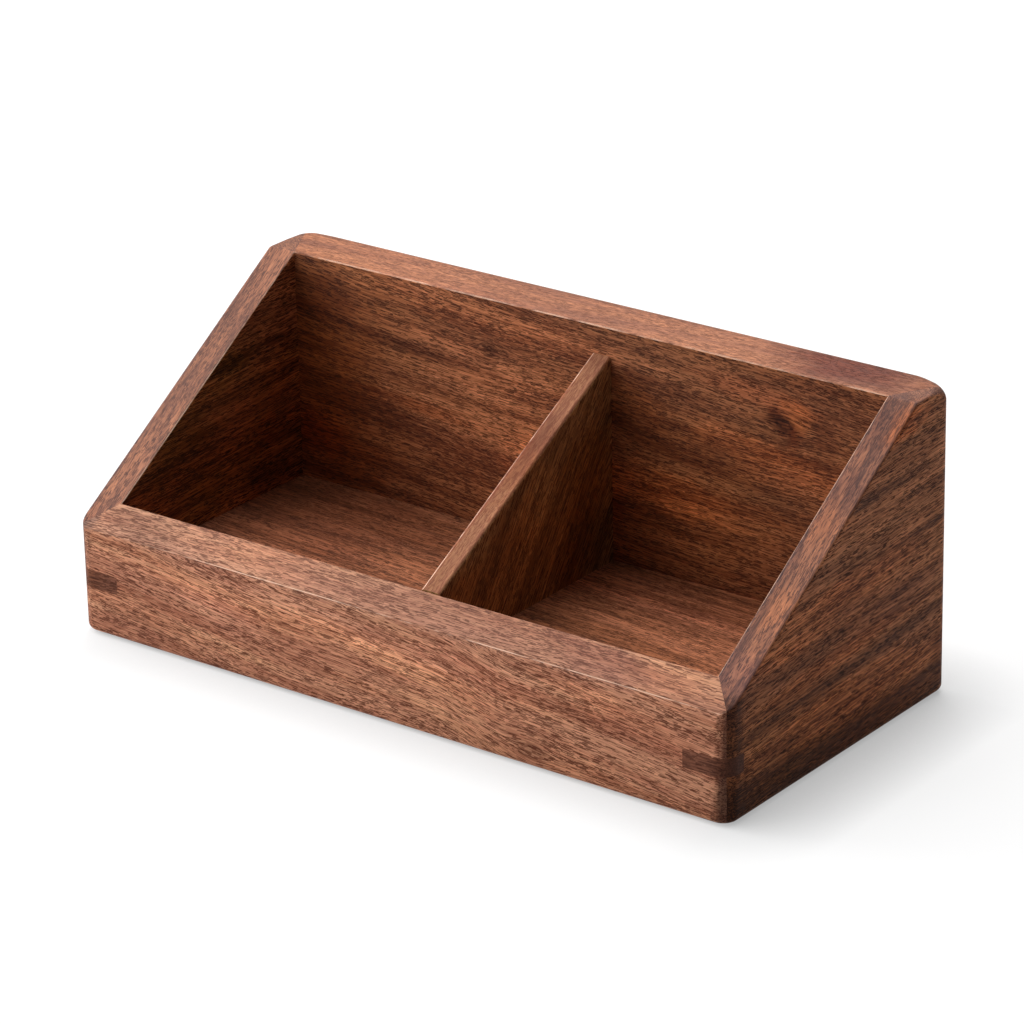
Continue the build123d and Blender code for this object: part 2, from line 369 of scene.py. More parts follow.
def makePaintedEdgeHighlight():
    # painted highlight: rounded edges that face up are painted pale in broken lengths, inner and outer ones
    # apart
    tree, given, result = newGroup(
        "paintedEdgeHighlight",
        [("Vector", "Vector", None), ("Normal", "Vector", None), ("Slope Normal", "Vector", (0, -0.55, 0.84)),
         ("Length", "Float", 0.02), ("Spread", "Float", 0.94), ("Strength", "Float", 0.5),
         ("Outer Strength", "Float", 0.0), ("Centre", "Vector", None)],
        [("Mask", "Float")])
    parts = split(tree, given["Normal"])
    flat = vectorCalc(tree, "DOT_PRODUCT", given["Normal"], given["Slope Normal"])
    for part in parts:
        flat = calc(tree, "MAXIMUM", flat, calc(tree, "ABSOLUTE", part))
    rounded = calc(tree, "LESS_THAN", flat, given["Spread"])
    upward = fade(tree, parts[2], *paintedHighlightLook["upward"])
    away = vectorCalc(tree, "SUBTRACT", given["Vector"], given["Centre"])
    outward = vectorCalc(tree, "DOT_PRODUCT", given["Normal"], vectorCalc(tree, "MULTIPLY", away, (1, 1, 0)))
    outer = fade(tree, outward, *paintedHighlightLook["outward"])
    sockets = {0: outer, 2: given["Strength"], 3: given["Outer Strength"]}
    strength = addNode(tree, "ShaderNodeMix", sockets, data_type="FLOAT").outputs[0]
    broken = vectorCalc(tree, "DIVIDE", given["Vector"], combine(tree, *(given["Length"],) * 3))
    broken = fade(tree, noise(tree, broken, detail=3.0, roughness=0.7), *paintedHighlightLook["broken"])
    mask = calc(tree, "MULTIPLY", calc(tree, "MULTIPLY", rounded, upward), broken)
    tree.links.new(calc(tree, "MULTIPLY", mask, strength), result["Mask"])
    return tree


stainAndLightPatchLook = {
    "rimWaves": (2.2, 2.2, 2.2),  # in the patch's own reach
    "rimSwing": 1.3,
    "edge": (0.9, 1.9, 1.0, 0.0),
}


def makeStainAndLightPatch():
    # one soft ragged patch that tints the colour, for stains in the wood and for painted light and shade,
    # with its own reach along, through and across the fibres
    tree, given, result = newGroup(
        "stain",
        [("Vector", "Vector", None), ("Centre", "Vector", None), ("Reach", "Vector", (0.01, 0.01, 0.01))],
        [("Mask", "Float")])
    away = vectorCalc(tree, "SUBTRACT", given["Vector"], given["Centre"])
    away = vectorCalc(tree, "DIVIDE", away, given["Reach"])
    ragged = vectorCalc(tree, "DIVIDE", given["Vector"], given["Reach"])
    ragged = noise(tree, ragged, stainAndLightPatchLook["rimWaves"], 3.0, 0.6)
    ragged = calc(tree, "MULTIPLY", ragged, stainAndLightPatchLook["rimSwing"])
    reach = calc(tree, "ADD", vectorCalc(tree, "LENGTH", away), ragged)
    tree.links.new(fade(tree, reach, *stainAndLightPatchLook["edge"]), result["Mask"])
    return tree


walnutGrain = makeWalnutGrain()
stain = makeStainAndLightPatch()
paintedEdgeHighlight = makePaintedEdgeHighlight()
print("wood groups ready")

# each board is cut from its own place in the wood: tilt in degrees (topTilt where it faces up), shift in m
# rub is (spread, strength on inner edges, strength on outer ones) of a painted highlight, bend is (place,
# reach and height in mm)
# heart is (level in mm, darkness), knots are (place in the tray in mm, size in mm, darkness)
# stains are stains and patches of painted light and shade: (place in the tray in mm, reach along, through and
# across the fibres in mm, tint)
frontWood = {
    "tilt": (0, -5.5, 0), "topTilt": (0, -1.2, 0), "topDive": 0.0, "shift": (0.31, 0.02, 0.05),
    "grain": (1, 0, -0.07), "sheen": 0.16, "rub": (0.93, 0.6, 1.0), "rubStart": (-115, -50),
    "bend": (34, 18, 5.0),
    "knots": (((61, -66, 7), 5.0, 0.7), ((72, -66, 30), 3.0, 0.3)),
    "stains": (
        # the planed top edge
        ((24, -60, 45), (42, 14, 8), (0.82, 0.78, 0.8)), ((85, -60, 45), (26, 14, 8), (0.86, 0.8, 0.84)),
        ((-112, -60, 45), (20, 14, 8), (0.8, 0.8, 0.8)),
        ((-60, -60, 45), (24, 12, 8), (1.16, 1.16, 1.12)),
        ((114, -60, 44), (18, 12, 8), (1.22, 1.18, 1.1)),
        # the outer face
        ((-88, -66, 22), (34, 10, 12), (0.9, 0.87, 0.9)), ((20, -66, 22), (60, 8, 9), (1.12, 1.12, 1.1)),
        ((-84, -66, 30), (46, 8, 5), (1.24, 1.25, 1.2)), ((-8, -66, 29), (50, 8, 5), (1.2, 1.22, 1.2)),
        ((38, -66, 30), (34, 8, 6), (1.24, 1.26, 1.3)), ((-74, -66, 26), (26, 8, 6), (1.22, 1.25, 1.3)),
        ((88, -66, 33), (26, 8, 5), (1.22, 1.2, 1.14)), ((108, -66, 26), (34, 8, 7), (0.92, 0.8, 0.76)),
        ((-20, -66, 32), (80, 8, 5), (1.1, 1.14, 1.2)), ((-114, -66, 10), (22, 8, 8), (0.88, 0.86, 0.88)),
        # the two ends; the right one is painted shade where the rounded corner turns away from the lamps
        ((-140, -63, 20), (5, 7, 70), (0.42, 0.45, 0.55)),
        ((140, -65, 14), (6, 8, 60), (0.26, 0.23, 0.22)),
    ),
    "Light Tone": tone(226, 165, 126), "Middle Tone": tone(200, 130, 96), "Dark Tone": tone(130, 74, 50),
    "Blush Tone": tone(183, 122, 99), "Blush": 0.5, "Faded Tone": tone(146, 108, 90), "Faded": 0.3,
    "Pore Tone": tone(92, 42, 24), "Pore Depth": 0.95, "Pore Length": 0.006, "Pore Width": 0.00029,
    "Band Width": 0.006, "Band Darkness": 0.6, "Streak Width": 0.0014, "Streak Darkness": 0.35,
    "Wander": 0.009, "Line Darkness": 0.35,
}
backWood = {
    "tilt": (0, -4.5, -2), "shift": (0.77, 0.31, 0.02),
    "grain": (1, 0, -0.05), "sheen": 0.15, "rub": (0.985, 0.9, 0.0),
    "knots": (((86.5, 44.5, 93), 3.6, 0.8), ((-40, 44.5, 93), 2.6, 0.8)),
    "stains": (
        # the inner face: mostly painted shade near the left side and the divider, and painted light further
        # right in each compartment; the last lines mark round the knot
        ((-122, 44, 98), (30, 8, 16), (0.55, 0.46, 0.42)),
        ((-100, 44, 60), (30, 8, 8), (0.56, 0.46, 0.42)),
        ((-34, 44, 86), (42, 8, 14), (1.34, 1.36, 1.42)),
        ((-44, 44, 60), (74, 8, 24), (1.34, 1.36, 1.42)),
        ((-112, 44, 40), (40, 8, 18), (0.72, 0.52, 0.4)),
        ((-120, 44, 68), (30, 8, 40), (0.94, 0.78, 0.6)), ((24, 44, 88), (18, 8, 12), (0.74, 0.6, 0.48)),
        ((72, 44, 82), (28, 8, 6), (1.55, 1.45, 1.3)), ((76, 44, 89), (14, 8, 4), (0.76, 0.76, 0.76)),
        ((84, 44, 73), (18, 8, 5), (1.2, 1.16, 1.16)), ((38, 44, 56), (30, 8, 10), (1.6, 1.42, 1.24)),
        ((104, 44, 76), (26, 8, 8), (1.4, 1.3, 1.18)), ((80, 44, 64), (20, 8, 5), (0.68, 0.7, 0.74)),
        ((74, 44, 102), (26, 8, 5), (1.28, 1.14, 1.1)), ((-36, 44, 105), (70, 8, 8), (1.7, 1.7, 1.7)),
        ((-76, 44, 65), (36, 8, 4), (0.84, 0.7, 0.62)), ((-12, 44, 52), (24, 8, 16), (1.9, 1.8, 1.7)),
        ((-22, 44, 39), (16, 8, 9), (1.24, 1.4, 1.5)), ((-118, 44, 46), (16, 8, 12), (1.34, 1.24, 1.16)),
        ((-114, 44, 66), (36, 8, 60), (0.86, 0.78, 0.64)), ((50, 44, 56), (40, 8, 28), (1.25, 1.24, 1.1)),
        ((-75, 44, 94), (40, 8, 4), (1.25, 1.25, 1.25)), ((-75, 44, 86.5), (40, 8, 3), (0.76, 0.72, 0.7)),
        ((50, 44, 75), (50, 8, 9), (0.76, 0.7, 0.66)),
        ((82.9, 44, 95.5), (4.8, 8, 4.8), (0.52, 0.38, 0.33)),
        ((86.5, 44, 92.3), (4.8, 8, 4.8), (0.52, 0.38, 0.33)),
        ((90.6, 44, 89.2), (4.8, 8, 4.8), (0.52, 0.38, 0.33)),
        ((92, 44, 97.4), (8, 8, 8), (1.4, 1.22, 1.0)), ((102.8, 44, 93.1), (8, 8, 10), (0.6, 0.52, 0.5)),
        # the right top corner
        ((104, 60, 113), (38, 17, 12), (0.4, 0.19, 0.1)),
    ),
    "Light Tone": tone(183, 117, 77), "Middle Tone": tone(141, 81, 50), "Dark Tone": tone(88, 44, 24),
    "Blush Tone": tone(132, 79, 55), "Blush": 0.4, "Faded Tone": tone(208, 140, 112), "Faded": 0.2,
    "Pore Tone": tone(46, 20, 10), "Pore Depth": 0.86, "Pore Length": 0.0052, "Pore Width": 0.0003,
    "Band Width": 0.007, "Band Darkness": 0.65, "Streak Width": 0.0016, "Streak Darkness": 0.55,
    "Wander": 0.01, "Line Darkness": 0.5,
}
sideWood = {
    "tilt": (-3, 0, -90), "topTilt": (-38, 0, -90), "topDive": 0.6, "shift": (0.13, 0.42, 0.21),
    "grain": (0, 1, 0.1), "sheen": 0.08, "rub": (0.95, 0.7, 0.0), "heart": (12, 0.6),
    "stains": (
        # the inner face of the left side, painted shade: the first darkens the whole face, the last its low
        # back corner
        ((-126.6, -5, 60), (90, 2, 60), (0.5, 0.66, 0.4)),
        ((-128, 24, 33), (20, 5, 8), (0.66, 0.62, 0.56)), ((-128, 26, 47), (22, 5, 8), (1.35, 1.3, 1.25)),
        ((-128, 38, 36), (34, 5, 24), (0.65, 0.72, 0.8)),
        # the outer face of the left side; the side's tones hold painted light for the shaded right face, and
        # the second darkens this lit face back
        ((-140, -62, 22), (14, 8, 34), (0.66, 0.62, 0.68)),
        ((-140, 0, 56), (130, 2, 100), (0.62, 0.68, 0.84)),
        # the sloping edge of the right side
        ((134, -54, 48), (16, 12, 9), (0.82, 0.84, 0.96)), ((133, -29, 64), (16, 7, 7), (1.2, 1.12, 1.0)),
        ((133, 0, 83), (16, 8, 7), (1.2, 1.1, 0.98)), ((133, 0, 82), (120, 9, 70), (0.92, 0.91, 0.93)),
        ((134, 12, 91), (12, 9, 6), (0.84, 0.84, 0.88)),
        # the outer face of the right side
        ((140, -63, 38), (5, 10, 7), (0.55, 0.5, 0.5)), ((140, 5, 21), (62, 8, 8), (1.4, 1.24, 1.08)),
        ((140, 5, 39), (45, 8, 3.5), (1.28, 1.16, 1.04)), ((140, 8, 61), (44, 8, 6), (1.5, 1.38, 1.28)),
        ((140, -46, 28), (26, 8, 5), (0.6, 0.57, 0.54)), ((140, -28, 9), (46, 8, 6), (0.7, 0.62, 0.46)),
        ((140, 22, 7), (50, 8, 5), (1.1, 0.96, 0.8)), ((140, 0, 48), (60, 8, 22), (1.14, 1.08, 1.02)),
        ((140, 24, 15), (44, 8, 5.5), (1.42, 1.34, 1.2)),
        ((140, -34, 15), (24, 8, 4), (0.84, 0.84, 0.84)), ((140, -8, 22), (26, 8, 6), (1.24, 1.24, 1.2)),
        ((140, -36, 34), (22, 8, 4), (0.74, 0.7, 0.64)), ((140, -36, 51), (26, 8, 5), (1.3, 1.22, 1.14)),
        ((140, 22, 68), (20, 8, 5), (0.84, 0.84, 0.84)), ((140, 22, 10), (50, 8, 4), (0.8, 0.74, 0.66)),
        ((140, 18, 32.5), (62, 8, 3.6), (0.56, 0.54, 0.54)),
        ((140, -18, 45), (32, 8, 4.5), (0.5, 0.48, 0.48)),
        ((140, 35, 49), (30, 8, 3.2), (0.74, 0.72, 0.74)), ((140, 6, 68), (26, 8, 4), (0.74, 0.74, 0.76)),
        ((140, 32, 74), (16, 8, 3), (0.82, 0.82, 0.82)), ((140, 62, 16), (9, 9, 14), (0.6, 0.52, 0.46)),
        # the two ends and the top of the right side; the first is painted shade on the rounded front corner,
        # the third painted light on the rounded back corner
        ((139, -64, 16), (9, 8, 60), (0.42, 0.38, 0.36)), ((138, 64, 108), (7, 9, 6), (0.6, 0.55, 0.55)),
        ((139, 63, 86), (6, 9, 34), (1.25, 1.3, 1.4)), ((139, 36, 107), (16, 5, 6), (1.5, 1.15, 0.85)),
        ((131, 30, 105), (20, 8, 7), (0.8, 0.8, 0.84)),
        # the inner face of the right side, darkened back like the lit left face from tones that hold painted
        # light for the shaded right face
        ((128, 0, 56), (110, 2, 90), (0.64, 0.7, 0.84)),
    ),
    "Light Tone": tone(213, 137, 91), "Middle Tone": tone(171, 103, 65), "Dark Tone": tone(68, 34, 18),
    "Blush Tone": tone(164, 103, 74), "Blush": 0.5, "Faded Tone": tone(133, 103, 97), "Faded": 0.45,
    "Pore Tone": tone(43, 19, 9), "Pore Depth": 0.95, "Pore Length": 0.0052, "Pore Width": 0.00031,
    "Band Width": 0.0055, "Band Darkness": 0.65, "Streak Width": 0.002, "Streak Darkness": 0.6,
    "Wander": 0.006, "Line Darkness": 0.5, "Ring Spacing": 0.013, "Ring Darkness": 0.42,
}
panelWood = {
    "tilt": (0, 0, 3), "shift": (0.55, 0.12, 0.33),
    "grain": (1, 0, 0), "sheen": 0.15,
    "stains": (
        # painted shade over the left compartment's floor and painted light over the right one's
        ((-95, 0, 25), (50, 70, 8), (0.8, 0.71, 0.68)), ((75, 5, 25), (70, 70, 8), (1.3, 1.3, 1.32)),
        ((50, -11, 25), (60, 12, 8), (0.74, 0.7, 0.62)), ((44, 22, 25), (48, 8, 8), (1.4, 1.4, 1.5)),
        # painted light where the front board's shadow ends in the left compartment
        ((-92, -20, 25), (50, 10, 8), (1.3, 1.45, 1.6)),
    ),
    "Light Tone": tone(192, 123, 87), "Middle Tone": tone(159, 97, 64), "Dark Tone": tone(95, 53, 34),
    "Blush Tone": tone(145, 91, 68), "Blush": 0.4, "Faded": 0.0,
    "Pore Tone": tone(57, 29, 18), "Pore Depth": 0.85, "Pore Length": 0.0052, "Pore Width": 0.00031,
    "Band Width": 0.006, "Band Darkness": 0.6, "Streak Width": 0.0016, "Streak Darkness": 0.5,
    "Wander": 0.009, "Line Darkness": 0.5,
}
dividerWood = {
    "tilt": (-56, 0, -90), "topTilt": (-35, 0, -90), "topDive": 0.6, "shift": (0.91, 0.22, 0.13),
    "grain": (0, 0.56, 0.83), "sheen": 0.1, "rub": (0.96, 0.8, 0.0), "rubCentre": (-500, 0, 0),
    "stains": (
        # the right face; the first two are painted shade at its low back corner
        ((14, 38, 36), (22, 5, 18), (0.62, 0.72, 0.82)), ((14, 24, 34), (26, 5, 14), (0.58, 0.48, 0.4)),
        ((14, 0, 62), (18, 5, 12), (1.4, 1.45, 1.4)), ((14, 30, 66), (20, 5, 18), (0.9, 0.8, 0.66)),
        ((14, 0, 56), (110, 3, 90), (1.24, 1.24, 1.26)),
        # the top edge
        ((10, -4, 70), (30, 8, 12), (0.76, 0.62, 0.54)), ((10, -20, 60), (12, 8, 7), (0.92, 0.8, 0.72)),
        ((10, 12, 81), (16, 8, 9), (0.8, 0.76, 0.76)),
        # the left face, which the lamps light, tinted redder than the olive tones that hold painted light for
        # the right face in shade
        ((6, 0, 56), (110, 2, 90), (0.98, 0.74, 0.74)),
    ),
    "Light Tone": tone(180, 139, 93), "Middle Tone": tone(150, 112, 73), "Dark Tone": tone(98, 67, 40),
    "Blush Tone": tone(136, 106, 76), "Blush": 0.4, "Faded Tone": tone(156, 94, 72), "Faded": 0.6,
    "Pore Tone": tone(62, 37, 22), "Pore Depth": 0.85, "Pore Length": 0.0052, "Pore Width": 0.00031,
    "Band Width": 0.005, "Band Darkness": 0.5, "Streak Width": 0.0014, "Streak Darkness": 0.6,
    "Wander": 0.005, "Line Darkness": 0.5,
}
keyWood = {
    "tilt": (0, 0, 0), "shift": (0.41, 0.52, 0.23),
    "grain": (1, 0, 0), "sheen": 0.1,
    "stains": (
        # the left front key
        ((-136, -64, 23), (14, 14, 14), (0.68, 0.6, 0.5)),
        # the right front key, painted shade where it turns round the corner
        ((140, -64, 22), (9, 9, 40), (0.6, 0.55, 0.52)),
    ),
    "Light Tone": tone(141, 89, 68), "Middle Tone": tone(124, 76, 57), "Dark Tone": tone(91, 52, 38),
    "Blush Tone": tone(126, 82, 66), "Blush": 0.4, "Faded": 0.0,
    "Pore Tone": tone(62, 34, 24), "Pore Depth": 0.6,
    "Band Width": 0.006, "Band Darkness": 0.3, "Streak Width": 0.0016, "Streak Darkness": 0.3,
    "Wander": 0.004, "Line Darkness": 0.4,
}

boardLook = {
    "facesUp": 0.5,  # upward share of a normal from which topTilt holds
    "topBendLoss": 0.75,  # how much flatter the bend is there
    "bump": 0.00008,  # m
}


def radians(angles):
    return [math.radians(angle) for angle in angles]


def placeInWood(wood, x, y, z):
    turn = Euler(radians(wood["tilt"])).to_matrix()
    return turn @ Vector((x * mm, y * mm, z * mm)) + Vector(wood["shift"])


def layInWood(tree, point, wood, tilt):
    sockets = {"Vector": point, "Location": wood["shift"], "Rotation": radians(wood[tilt])}
    return addNode(tree, "ShaderNodeMapping", sockets).outputs[0]


def walnutMaterial(name, wood):
    material, tree = newMaterial(name)
    where = addNode(tree, "ShaderNodeTexCoord").outputs
    onTop = calc(tree, "GREATER_THAN", split(tree, where["Normal"])[2], boardLook["facesUp"])
    placed = layInWood(tree, where["Object"], wood, "tilt")
    inWood = placed
    fibreAxis = Vector(wood["grain"]).normalized()
    if "topTilt" in wood:
        # the fibres turn with the cut on top, so it shows them almost at full length
        placedOnTop = layInWood(tree, where["Object"], wood, "topTilt")
        sockets = {0: onTop, 4: placed, 5: placedOnTop}
        inWood = addNode(tree, "ShaderNodeMix", sockets, data_type="VECTOR").outputs[1]
        dive = calc(tree, "MULTIPLY", onTop, wood["topDive"])
        fibreAxis = combine(tree, fibreAxis.x, fibreAxis.y, dive)
    settings = {key: value for key, value in wood.items() if key[0].isupper()}
    settings.update({"Vector": inWood, "Normal": where["Normal"], "Fibre Axis": fibreAxis})
    if "bend" in wood:
        start, reach, height = wood["bend"]
        kept = calc(tree, "SUBTRACT", 1.0, calc(tree, "MULTIPLY", onTop, boardLook["topBendLoss"]))
        settings.update({"Bend Place": placeInWood(wood, start, 0, 0).x, "Bend Reach": reach * mm,
                         "Bend Height": calc(tree, "MULTIPLY", kept, height * mm)})
    if "heart" in wood:
        height, darkness = wood["heart"]
        tilt = -math.tan(math.radians(wood["tilt"][0]))
        level = placeInWood(wood, 0, 0, height)
        settings.update({"Heart Tilt": tilt, "Heart Level": level.z + tilt * level.x,
                         "Heart Darkness": darkness})
    for knot, (spot, size, darkness) in zip(("Knot", "Second Knot"), wood.get("knots", ())):
        settings.update({knot + " Place": placeInWood(wood, *spot), knot + " Size": size * mm,
                         knot + " Darkness": darkness})
    grain = addNode(tree, "ShaderNodeGroup", settings, node_tree=walnutGrain).outputs
    colour = grain["Color"]
    # stains in the wood and patches of painted light and shade
    for spot, reach, tint in wood["stains"]:
        sockets = {"Vector": placed, "Centre": placeInWood(wood, *spot), "Reach": Vector(reach) * mm}
        mask = addNode(tree, "ShaderNodeGroup", sockets, node_tree=stain).outputs["Mask"]
        colour = mixColours(tree, mask, colour, tint + (1,), "MULTIPLY")
    # a painted highlight along the rounded edges that face up
    if "rub" in wood:
        spread, innerHighlight, outerHighlight = wood["rub"]
        if "rubStart" in wood:
            start, full = wood["rubStart"]
            along = split(tree, where["Object"])[0]
            firstHighlight = outerHighlight * paintedHighlightLook["shareAtStart"]
            outerHighlight = fade(tree, along, start * mm, full * mm, firstHighlight, outerHighlight)
        sockets = {"Vector": where["Object"], "Normal": where["Normal"],
                   "Slope Normal": paintedHighlightLook["slopeNormal"], "Length": paintedHighlightLook["length"],
                   "Spread": spread, "Strength": innerHighlight, "Outer Strength": outerHighlight,
                   "Centre": Vector(wood.get("rubCentre", (0, 0, 0))) * mm}
        mask = addNode(tree, "ShaderNodeGroup", sockets, node_tree=paintedEdgeHighlight).outputs["Mask"]
        colour = mixColours(tree, mask, colour, paintedHighlightLook["tone"])
    sockets = {"Strength": 1.0, "Distance": boardLook["bump"], "Height": grain["Height"]}
    bump = addNode(tree, "ShaderNodeBump", sockets).outputs[0]
    sockets = {"Base Color": colour, "Roughness": grain["Roughness"], "Specular IOR Level": wood["sheen"],
               "Normal": bump}
    shader = addNode(tree, "ShaderNodeBsdfPrincipled", sockets).outputs[0]
    addNode(tree, "ShaderNodeOutputMaterial", {"Surface": shader})
    return material


sanding = {
    "lowest": 90.0,  # mm, nothing below this is sanded
    "edgeRound": 1.0,  # mm, the rounding along the straight top edges
    "cornerRound": 5.4,  # what it grows to at the right back corner
    "leftShare": 0.2,  # how much of that the left one gets
    "uprightRound": 6.0,  # the rounding of the upright corners
    "blend": 13.0,  # over this distance from the middle of a corner
    "fineStep": 0.6,
    "fineDepth": 7.2,
    "coarseStep": 1.5,
    "depth": 18.0,
    "weld": 0.002,  # mm, points nearer than this are one
    "flatAngle": 0.4,  # degrees, faces that meet flatter than this are one
    "sharpAngle": 28,  # degrees, edges sharper than this stay sharp
}


def smoothStep(value):
    value = min(1.0, max(0.0, value))
    return value * value * (3 - 2 * value)


def sandPoint(point):
    # rounds the top edge more towards the two back corners
    if point.y < 0 or point.z < sanding["lowest"] * mm:
        return point
    side = 1 if point.x > 0 else -1
    upright = sanding["uprightRound"] * mm
    fromSide, fromBack, down = highCorner.x - point.x * side, highCorner.y - point.y, highCorner.z - point.z
    outX, outY = upright - fromSide, upright - fromBack
    if outX > 0 and outY > 0:
        reach = math.hypot(outX, outY) or 1e-9
        inset, outward = upright - reach, (outX / reach, outY / reach)
        travel = abs(math.atan2(outY, outX) - math.pi / 4) * upright
    else:
        along = max(fromSide, fromBack) - upright
        inset, outward = (fromSide, (1, 0)) if fromSide < fromBack else (fromBack, (0, 1))
        travel = along + upright * math.pi / 4
    growth = smoothStep(1 - travel / (sanding["blend"] * mm)) * (1 if side > 0 else sanding["leftShare"])
    radius = (sanding["edgeRound"] + (sanding["cornerRound"] - sanding["edgeRound"]) * growth) * mm
    overSide, overTop = radius - inset, radius - down
    reach = math.hypot(overSide, overTop)
    if min(overSide, overTop) < 0 or reach < radius:
        return point
    pull = 1 - radius / reach
    return Vector((point.x - side * outward[0] * overSide * pull, point.y - outward[1] * overSide * pull,
                   point.z - overTop * pull))


def weldedShape(nodeName):
    shape = bmesh.new()
    shape.from_mesh(frame["nodes"][nodeName].data)
    bmesh.ops.remove_doubles(shape, verts=shape.verts, dist=sanding["weld"] * mm)
    flatAngle = math.radians(sanding["flatAngle"])
    bmesh.ops.dissolve_limit(shape, angle_limit=flatAngle, verts=shape.verts, edges=shape.edges)
    return shape


def cutAcross(shape, place, normal):
    everything = shape.verts[:] + shape.edges[:] + shape.faces[:]
    bmesh.ops.bisect_plane(shape, geom=everything, plane_co=place, plane_no=normal, dist=sanding["weld"] * mm)


def sandShape(shape):
    cut = 0
    while cut < sanding["depth"]:
        cut += sanding["fineStep" if cut < sanding["fineDepth"] else "coarseStep"]
        for side in (-1, 1):
            cutAcross(shape, (side * (highCorner.x - cut * mm), 0, 0), (1, 0, 0))
        cutAcross(shape, (0, highCorner.y - cut * mm, 0), (0, 1, 0))
        if cut < sanding["fineDepth"]:
            cutAcross(shape, (0, 0, highCorner.z - cut * mm), (0, 0, 1))
    for vertex in shape.verts:
        vertex.co = sandPoint(vertex.co)


def dressedCopy(nodeName, material, isSanded):
    # a welded copy of a frame piece, sanded at the outer corners and shaded smooth over its roundings
    shape = weldedShape(nodeName)
    if isSanded:
        sandShape(shape)
    for face in shape.faces:
        face.smooth = True
    for edge in shape.edges:
        edge.smooth = edge.is_manifold and edge.calc_face_angle() < math.radians(sanding["sharpAngle"])
    mesh = bpy.data.meshes.new(nodeName + "Wood")
    shape.to_mesh(mesh)
    shape.free()
    mesh.materials.append(material)
    piece = addObject(nodeName + "Wood", mesh)
    evenNormals = piece.modifiers.new("evenNormals", "WEIGHTED_NORMAL")
    evenNormals.keep_sharp = True
    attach(piece, "root")
    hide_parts(nodeName)
    return piece


woodMaterials = {
    "front_wood": walnutMaterial("frontWalnut", frontWood),
    "back_wood": walnutMaterial("backWalnut", backWood),
    "side_wood": walnutMaterial("sideWalnut", sideWood),
    "panel_wood": walnutMaterial("panelWalnut", panelWood),
    "divider_wood": walnutMaterial("dividerWalnut", dividerWood),
    "key_wood": walnutMaterial("keyWalnut", keyWood),
    "spline_wood": walnutMaterial("splineWalnut", keyWood),
}
sandedPieces = ("back_panel", "left_side", "right_side")
slots = {entry["node"]: entry["material_slot"] for entry in frame["record"]["subparts"]}
for nodeName, slotName in slots.items():
    if slotName in woodMaterials:
        piece = dressedCopy(nodeName, woodMaterials[slotName], nodeName in sandedPieces)
        print(" ", nodeName, len(piece.data.polygons), "faces")
print("wood dressed")

feltPads = {
    "Pad Radius": 5 * mm,
    "Pad Thickness": 0.8 * mm,
    "Dent": 0.12 * mm,
    "Fibre Length": 0.35 * mm,
    "Fibre Radius": 0.022 * mm,
    "Fibres per Area": 9e6,
    "Seed": 7,
}
feltCloth = {
    "dark": tone(38, 31, 27),
    "pale": tone(96, 82, 73),
    "patch": tone(52, 43, 38),
    "tuftScale": (3500, 3500, 3500),
    "patchScale": (500, 500, 500),
    "bump": 0.0001,  # m
}


def makeFeltMaterial():
    material, tree = newMaterial("feltCloth")
    where = addNode(tree, "ShaderNodeTexCoord").outputs["Object"]
    tuft = noise(tree, where, feltCloth["tuftScale"], 3.0, 0.7)
    patch = calc(tree, "MULTIPLY", noise(tree, where, feltCloth["patchScale"]), 0.5)
    colour = mixColours(tree, tuft, feltCloth["dark"], feltCloth["pale"])
    colour = mixColours(tree, patch, colour, feltCloth["patch"])
    sockets = {"Strength": 1.0, "Distance": feltCloth["bump"], "Height": tuft}
    bump = addNode(tree, "ShaderNodeBump", sockets).outputs[0]
    sockets = {"Base Color": colour, "Roughness": 0.95, "Specular IOR Level": 0.1, "Sheen Weight": 0.3,
               "Normal": bump}
    shader = addNode(tree, "ShaderNodeBsdfPrincipled", sockets).outputs[0]
    addNode(tree, "ShaderNodeOutputMaterial", {"Surface": shader})
    return material


